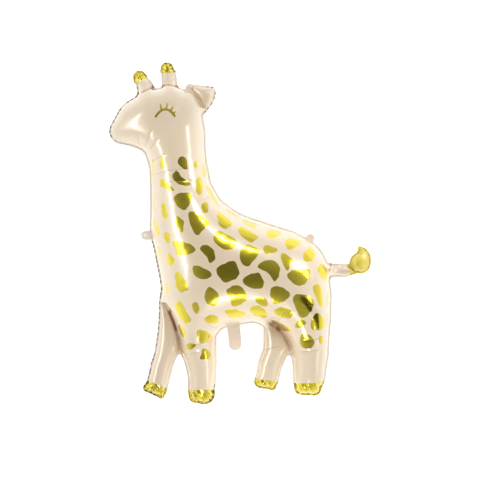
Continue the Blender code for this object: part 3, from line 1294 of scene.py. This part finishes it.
def stroke_group(softness: float = 0.0007) -> bpy.types.NodeTree:
    """Makes the group that draws a straight tapering stroke between two places of the film.

    Args:
        softness: how wide the stroke's soft edge is, in metres.

    Returns:
        The group.
    """
    group = new_group(
        "printed_stroke",
        {"Place": VECTOR, "Start": VECTOR, "End": VECTOR, "Half width": FLOAT, "End share": FLOAT},
        {"Mask": FLOAT},
    )
    nodes = Nodes(group)
    given = nodes.add("NodeGroupInput").outputs
    flat = nodes.vector("MULTIPLY", given["Place"], (1, 1, 0))
    offset = nodes.vector("SUBTRACT", flat, given["Start"])
    run = nodes.vector("SUBTRACT", given["End"], given["Start"])
    along = nodes.vector("DOT_PRODUCT", offset, run)
    share = nodes.clamped(nodes.math("DIVIDE", along, nodes.vector("DOT_PRODUCT", run, run)))
    apart = nodes.vector("DISTANCE", offset, nodes.vector("MULTIPLY", run, share))
    narrowing = nodes.math("MULTIPLY", share, nodes.math("SUBTRACT", given["End share"], 1.0))
    width = nodes.math("MULTIPLY", given["Half width"], nodes.math("ADD", narrowing, 1.0))
    over = nodes.math("DIVIDE", nodes.math("SUBTRACT", width, apart), softness)
    mask = nodes.clamped(nodes.math("ADD", over, 0.5))
    nodes.link(mask, nodes.add("NodeGroupOutput").inputs["Mask"])
    return group


@dataclass(frozen=True)
class ClosedEye:
    """The printed closed eye: its lid as a bow of short strokes, and its lashes, in millimetres."""

    left: Place = (-246, 341)
    crown: Place = (-218, 361)
    right: Place = (-191, 343)
    bow_strokes: int = 7
    roundness: float = 2.1
    half_width: float = 3.3
    lashes: tuple[tuple[float, float, float, float], ...] = (
        (-229, 358, -232, 375),
        (-215, 361, -212, 378),
        (-203, 356, -196, 369),
        (-194, 349, -190, 354),
    )
    lash_half_width: float = 3.0
    lash_end_share: float = 0.7

    def bow(self) -> list[Place]:
        """Works out the places along the lid.

        Returns:
            The places, from left to right.
        """
        places = []
        for i in range(self.bow_strokes + 1):
            share = i / self.bow_strokes
            across = self.left[0] + (self.right[0] - self.left[0]) * share
            base = self.left[1] + (self.right[1] - self.left[1]) * share
            lift = (self.crown[1] - self.left[1]) * (1 - abs(2 * share - 1) ** self.roundness)
            places.append((across, base + lift))
        return places

    def mask(self, nodes: Nodes, place: bpy.types.NodeSocket) -> bpy.types.NodeSocket:
        """Draws the eye in a material.

        Args:
            nodes: the material's nodes.
            place: the place on the film.

        Returns:
            The mask, 1 on the strokes.
        """
        group = stroke_group()
        bow = self.bow()
        strokes = [(*bow[i], *bow[i + 1], self.half_width, 1.0) for i in range(self.bow_strokes)]
        strokes += [(*lash, self.lash_half_width, self.lash_end_share) for lash in self.lashes]
        total = None
        for x0, y0, x1, y1, width, end in strokes:
            stroke = nodes.add("ShaderNodeGroup", node_tree=group)
            start_place = (x0 / 1000, y0 / 1000, 0)
            end_place = (x1 / 1000, y1 / 1000, 0)
            nodes.fill(stroke.inputs[:], (place, start_place, end_place, width / 1000, end))
            drawn = stroke.outputs["Mask"]
            total = drawn if total is None else nodes.math("MAXIMUM", total, drawn)
        return total


@dataclass(frozen=True)
class FilmFinish:
    """Printed foil: pearly cream ground with mirror gold print."""

    cream: Colour = (0.80, 0.648, 0.447, 1)
    # Painted shade for the folds and their ticks on the hem
    fold_painted_shade: Colour = (0.20, 0.085, 0.03, 1)
    # Painted shade along the long creases
    crease_painted_shade: Colour = (0.42, 0.24, 0.11, 1)
    flat_tint: Colour = (0.99, 0.81, 0.63, 1)
    # Painted bounce light beside the inner weld lines and bold creases
    painted_bounce_light: Colour = (1.0, 0.84, 0.64, 1)
    hem_tint: Colour = (0.92, 0.84, 0.73, 1)
    # Painted shade, orange-brown, in the valleys of the inner weld lines and bold creases
    valley_painted_shade: Colour = (0.44, 0.13, 0.02, 1)
    gold: Colour = (0.78, 0.63, 0.018, 1)
    # Painted reflection: gold pales where it is seen at a glancing angle, as if it mirrored a white room
    gold_painted_glancing_reflection: Colour = (0.68, 0.57, 0.30, 1)
    # Painted shade for the dashes on the hem
    dash_painted_shade: Colour = (0.035, 0.028, 0.02, 1)
    cream_roughness: float = 0.28
    gold_roughness: float = 0.17
    satin_roughness: float = 0.45
    satin_share: float = 0.75
    cream_metallic: float = 0.08
    pearl_ior: float = 2.2
    coat_ior: float = 1.65
    coat_weight: float = 1.0
    coat_roughness: float = 0.11
    edge_softness: float = 0.0006
    crease_half_width: float = 0.0009
    crease_fullness: float = 1.5
    # Where the painted glancing reflection starts and how fast it grows
    glance_start: float = 0.42
    glance_run: float = 0.40
    bounce_light_share: float = 0.8
    bounce_light_spread: float = 0.25
    valley_shade_share: float = 0.9
    crease_shade_share: float = 0.6
    fold_shade_share: float = 0.8
    bare_on_flat: float = 0.7
    bare_on_gold: float = 0.15

    def material(self, eye: ClosedEye) -> bpy.types.Material:
        """Makes the film's material.

        Args:
            eye: the printed eye.

        Returns:
            The material.
        """
        material = bpy.data.materials.new("printed_foil")
        material.use_nodes = True
        shader = material.node_tree.nodes["Principled BSDF"].inputs
        nodes = Nodes(material.node_tree)
        place = nodes.add("ShaderNodeUVMap", uv_map=ARTWORK).outputs["UV"]
        covered = nodes.math("DIVIDE", nodes.attribute(GOLD_GAP), -self.edge_softness)
        spots = nodes.clamped(nodes.math("ADD", covered, 0.5))
        gold = nodes.math("MAXIMUM", spots, eye.mask(nodes, place))
        flat = nodes.attribute(FLAT_FILM)
        satin = nodes.attribute(SATIN_GOLD)
        nodes.link(self._colour(nodes, gold, flat), shader["Base Color"])
        nodes.link(self._metallic(nodes, gold, flat, satin), shader["Metallic"])
        nodes.link(self._roughness(nodes, gold, satin), shader["Roughness"])
        bare = nodes.math("MULTIPLY", gold, self.bare_on_gold)
        bare = nodes.math("MAXIMUM", nodes.math("MULTIPLY", flat, self.bare_on_flat), bare)
        coat = nodes.math("MULTIPLY", nodes.math("SUBTRACT", 1.0, bare), self.coat_weight)
        nodes.link(coat, shader["Coat Weight"])
        shader["Coat Roughness"].default_value = self.coat_roughness
        shader["Coat IOR"].default_value = self.coat_ior
        shader["IOR"].default_value = self.pearl_ior
        return material

    def _colour(
        self, nodes: Nodes, gold: bpy.types.NodeSocket, flat: bpy.types.NodeSocket
    ) -> bpy.types.NodeSocket:
        """Lays the colours over one another: ground with painted bounce light and painted shade by the
        valleys, print with a painted glancing reflection on the gold, and painted shade in creases,
        folds and dashes.

        Args:
            nodes: the material's nodes.
            gold: 1 on the print.
            flat: 1 on the flat film.

        Returns:
            The film's colour.
        """
        ground = nodes.mix(flat, self.cream, self.flat_tint)
        ground = nodes.mix(nodes.attribute(HEM), ground, self.hem_tint)
        valley_shade = nodes.attribute(PAINTED_VALLEY_SHADE)
        # Painted bounce light near the valleys
        beside = nodes.math("MULTIPLY", nodes.math("POWER", valley_shade, self.bounce_light_spread), self.bounce_light_share)
        ground = nodes.mix(beside, ground, self.painted_bounce_light)
        # Painted shade in the valleys
        ground = nodes.mix(nodes.math("MULTIPLY", valley_shade, self.valley_shade_share), ground, self.valley_painted_shade)
        # Painted reflection: the gold pales as the film turns away from the view
        facing = nodes.add("ShaderNodeLayerWeight").outputs["Facing"]
        turned = nodes.math("SUBTRACT", facing, self.glance_start)
        turned = nodes.clamped(nodes.math("DIVIDE", turned, self.glance_run))
        colour = nodes.mix(gold, ground, nodes.mix(turned, self.gold, self.gold_painted_glancing_reflection))
        # Painted shade line along the long creases
        away = nodes.math("ABSOLUTE", nodes.attribute(CREASE_LINE))
        away = nodes.math("DIVIDE", away, self.crease_half_width)
        line = nodes.clamped(nodes.math("SUBTRACT", self.crease_fullness, away))
        colour = nodes.mix(nodes.math("MULTIPLY", line, self.crease_shade_share), colour, self.crease_painted_shade)
        # Painted shade in the folds
        folded = nodes.math("MULTIPLY", nodes.attribute(FOLD_SHADE), self.fold_shade_share)
        colour = nodes.mix(folded, colour, self.fold_painted_shade)
        # Painted shade dashes on the hem
        return nodes.mix(nodes.attribute(PAINTED_SHADE_DASH), colour, self.dash_painted_shade)

    def _metallic(
        self,
        nodes: Nodes,
        gold: bpy.types.NodeSocket,
        flat: bpy.types.NodeSocket,
        satin: bpy.types.NodeSocket,
    ) -> bpy.types.NodeSocket:
        """Makes the print a mirror, less so where it is satin, and the airy ground a little pearly.

        Args:
            nodes: the material's nodes.
            gold: 1 on the print.
            flat: 1 on the flat film.
            satin: 1 where gold is satin.

        Returns:
            How metallic the film is.
        """
        mirror = nodes.math("SUBTRACT", 1.0, nodes.math("MULTIPLY", satin, self.satin_share))
        bare = nodes.math("MULTIPLY", nodes.math("SUBTRACT", 1.0, flat), self.cream_metallic)
        return nodes.math("MAXIMUM", nodes.math("MULTIPLY", gold, mirror), bare)

    def _roughness(
        self, nodes: Nodes, gold: bpy.types.NodeSocket, satin: bpy.types.NodeSocket
    ) -> bpy.types.NodeSocket:
        """Makes gold smoother than the ground, less so where it is satin.

        Args:
            nodes: the material's nodes.
            gold: 1 on the print.
            satin: 1 where gold is satin.

        Returns:
            The film's roughness.
        """
        crinkled = nodes.math("MULTIPLY", satin, self.satin_roughness - self.gold_roughness)
        on_gold = nodes.math("ADD", crinkled, self.gold_roughness - self.cream_roughness)
        return nodes.math("ADD", nodes.math("MULTIPLY", gold, on_gold), self.cream_roughness)


@dataclass(frozen=True)
class Stand:
    """A stand in the room, seen from the place that it faces: its way in degrees, and how far."""

    azimuth: float
    elevation: float
    distance: float = 6.0
    roll: float = 0.0

    def facing(self, target: Vector) -> Matrix:
        """Works out where a light or card on the stand is.

        Args:
            target: the place that it faces.

        Returns:
            Its place and turn.
        """
        level = math.cos(math.radians(self.elevation))
        across = level * math.cos(math.radians(self.azimuth))
        along = level * math.sin(math.radians(self.azimuth))
        way = Vector((across, along, math.sin(math.radians(self.elevation))))
        turned = way.to_track_quat("Z", "Y").to_matrix()
        turned = turned @ Matrix.Rotation(math.radians(self.roll), 3, "Z")
        return Matrix.Translation(target + way * self.distance) @ turned.to_4x4()


@dataclass(frozen=True)
class SoftBox:
    """One oval soft light, as wide and as tall as it looks in degrees."""

    name: str
    stand: Stand
    width: float
    height: float
    radiance: float
    seen_in_gloss: bool = True

    def build(self, target: Vector) -> None:
        """Places the light so that it faces the target.

        Args:
            target: the place that it faces.
        """
        data = bpy.data.lights.new(self.name, "AREA")
        data.shape = "ELLIPSE"
        data.size = 2 * self.stand.distance * math.tan(math.radians(self.width / 2))
        data.size_y = 2 * self.stand.distance * math.tan(math.radians(self.height / 2))
        data.energy = self.radiance * math.pi * math.pi / 4 * data.size * data.size_y
        light = bpy.data.objects.new(self.name, data)
        light.matrix_world = self.stand.facing(target)
        light.visible_glossy = self.seen_in_gloss
        light.visible_camera = False
        bpy.context.scene.collection.objects.link(light)
        LOG.info("light %s", light.name)


@dataclass(frozen=True)
class Card:
    """A flat matt card of the studio, as white and as glowing as stated."""

    name: str
    width: float
    height: float
    white: float
    glow: float
    roughness: float = 0.9

    def build(self) -> bpy.types.Object:
        """Makes the card, lying on the floor.

        Returns:
            The card.
        """
        mesh = bmesh.new()
        bmesh.ops.create_grid(mesh, x_segments=1, y_segments=1, size=0.5)
        bmesh.ops.scale(mesh, vec=(self.width, self.height, 1), verts=mesh.verts[:])
        data = bpy.data.meshes.new(self.name)
        mesh.to_mesh(data)
        mesh.free()
        material = bpy.data.materials.new(self.name)
        material.use_nodes = True
        shader = material.node_tree.nodes["Principled BSDF"].inputs
        shader["Base Color"].default_value = (self.white, self.white, self.white, 1)
        shader["Roughness"].default_value = self.roughness
        shader["Specular IOR Level"].default_value = 0.0
        shader["Emission Color"].default_value = (1, 1, 1, 1)
        shader["Emission Strength"].default_value = self.glow
        data.materials.append(material)
        card = bpy.data.objects.new(self.name, data)
        bpy.context.scene.collection.objects.link(card)
        return card


@dataclass(frozen=True)
class Flag:
    """A black or grey card, out of the picture, that keeps one light off one place."""

    card: Card
    place: tuple[float, float, float]
    stand: Stand

    def build(self) -> None:
        """Makes the card, square to the light's way."""
        card = self.card.build()
        card.matrix_world = self.stand.facing(Vector(self.place))
        card.visible_camera = False


@dataclass
class Studio:
    """Floor, lights and camera."""

    floor: Card = Card("floor", 30.0, 30.0, white=0.97, glow=0.45)
    zenith: float = 0.14
    horizon: float = 0.96
    horizon_top: float = 0.10
    camera_lens: float = 85.0
    sensor: float = 36.0
    boxes: tuple[SoftBox, ...] = (
        SoftBox("left_strip", Stand(172, 37), 54, 7, 4.5),
        SoftBox("left_window", Stand(182, 33), 42, 14, 0.9),
        SoftBox("left_glow", Stand(180, 22), 40, 22, 0.3),
        SoftBox("right_strip", Stand(-22, 31), 20, 5, 4.5),
        SoftBox("neck_strip", Stand(13, 28), 8, 5, 5.0),
        SoftBox("flank_box", Stand(28, 30), 17, 15, 8.0),
        SoftBox("high_strip", Stand(68, 44, roll=38), 16, 2.2, 36.0),
        SoftBox("belly_strip", Stand(270, 39), 12, 5, 15.0),
        SoftBox("overhead_fill", Stand(90, 89.9), 40, 40, 0.35, seen_in_gloss=False),
        SoftBox("leg_fill", Stand(275, 40, 0.75), 24, 24, 4.2, seen_in_gloss=False),
        SoftBox("head_fill", Stand(114, 44, 0.65), 20, 20, 4.6, seen_in_gloss=False),
        SoftBox("tail_fill", Stand(-12, 38, 0.6), 20, 20, 2.6, seen_in_gloss=False),
    )
    flags: tuple[Flag, ...] = (
        Flag(Card("eye_flag", 0.24, 0.10, 0, 0.42), (-0.193, 0.348, 0.245), Stand(68, 44, 0.7, 38)),
        Flag(Card("nape_flag", 0.22, 0.20, 0, 0.6), (-0.158, 0.335, 0.225), Stand(28, 30, 0.5)),
        Flag(Card("dark_stand", 0.085, 0.26, 0, 0.04), (0.190, -0.200, 0.220), Stand(-26, 30, 0.3)),
    )

    def build(self, weld_height: float) -> None:
        """Makes the whole studio.

        Args:
            weld_height: height of the balloon's weld over the floor.
        """
        self.floor.build()
        self._sky()
        target = Vector((0, 0, weld_height))
        for box in self.boxes:
            box.build(target)
        for flag in self.flags:
            flag.build()
        self._camera(weld_height)

    def _sky(self) -> None:
        """Makes the room's soft light: bright round the sides and dim overhead."""
        world = bpy.data.worlds.new("studio_room")
        world.use_nodes = True
        bpy.context.scene.world = world
        tree = world.node_tree
        nodes = Nodes(tree)
        background = tree.nodes["Background"]
        way = nodes.add("ShaderNodeTexCoord").outputs["Generated"]
        split = nodes.add("ShaderNodeSeparateXYZ")
        nodes.link(way, split.inputs[0])
        height = nodes.add("ShaderNodeMapRange", interpolation_type="LINEAR")
        given = (split.outputs["Z"], self.horizon_top, 1.0, self.horizon, self.zenith)
        nodes.fill(height.inputs[:5], given)
        nodes.link(height.outputs["Result"], background.inputs["Strength"])
        background.inputs["Color"].default_value = (1, 1, 1, 1)

    def _camera(self, weld_height: float) -> None:
        """Places the camera straight above the balloon.

        Args:
            weld_height: height of the balloon's weld over the floor.
        """
        data = bpy.data.cameras.new("camera")
        data.lens = self.camera_lens
        data.sensor_width = self.sensor
        camera = bpy.data.objects.new("camera", data)
        camera.location = (*VIEW_MIDDLE, weld_height + VIEW_HEIGHT)
        bpy.context.scene.collection.objects.link(camera)
        bpy.context.scene.camera = camera


def main() -> None:
    """Builds the balloon and its studio."""
    logging.basicConfig(level=logging.INFO, format="%(name)s: %(message)s")
    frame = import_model()
    node = frame["nodes"][NODE]
    material = FilmFinish().material(ClosedEye())
    upper = Panel(Side.UPPER, "upper_film", cuts=5)
    lower = Panel(Side.LOWER, "lower_film", cuts=4)
    upper.inflate(node)
    lower.inflate(node, upper.film)
    folds = SeamFolds()
    folds.lay(upper.film)
    for panel in (upper, lower):
        panel.build(folds, material)
    Studio().build(upper.film.weld_height)
    bpy.context.scene.view_settings.view_transform = "Standard"


if __name__ == "__main__":
    main()
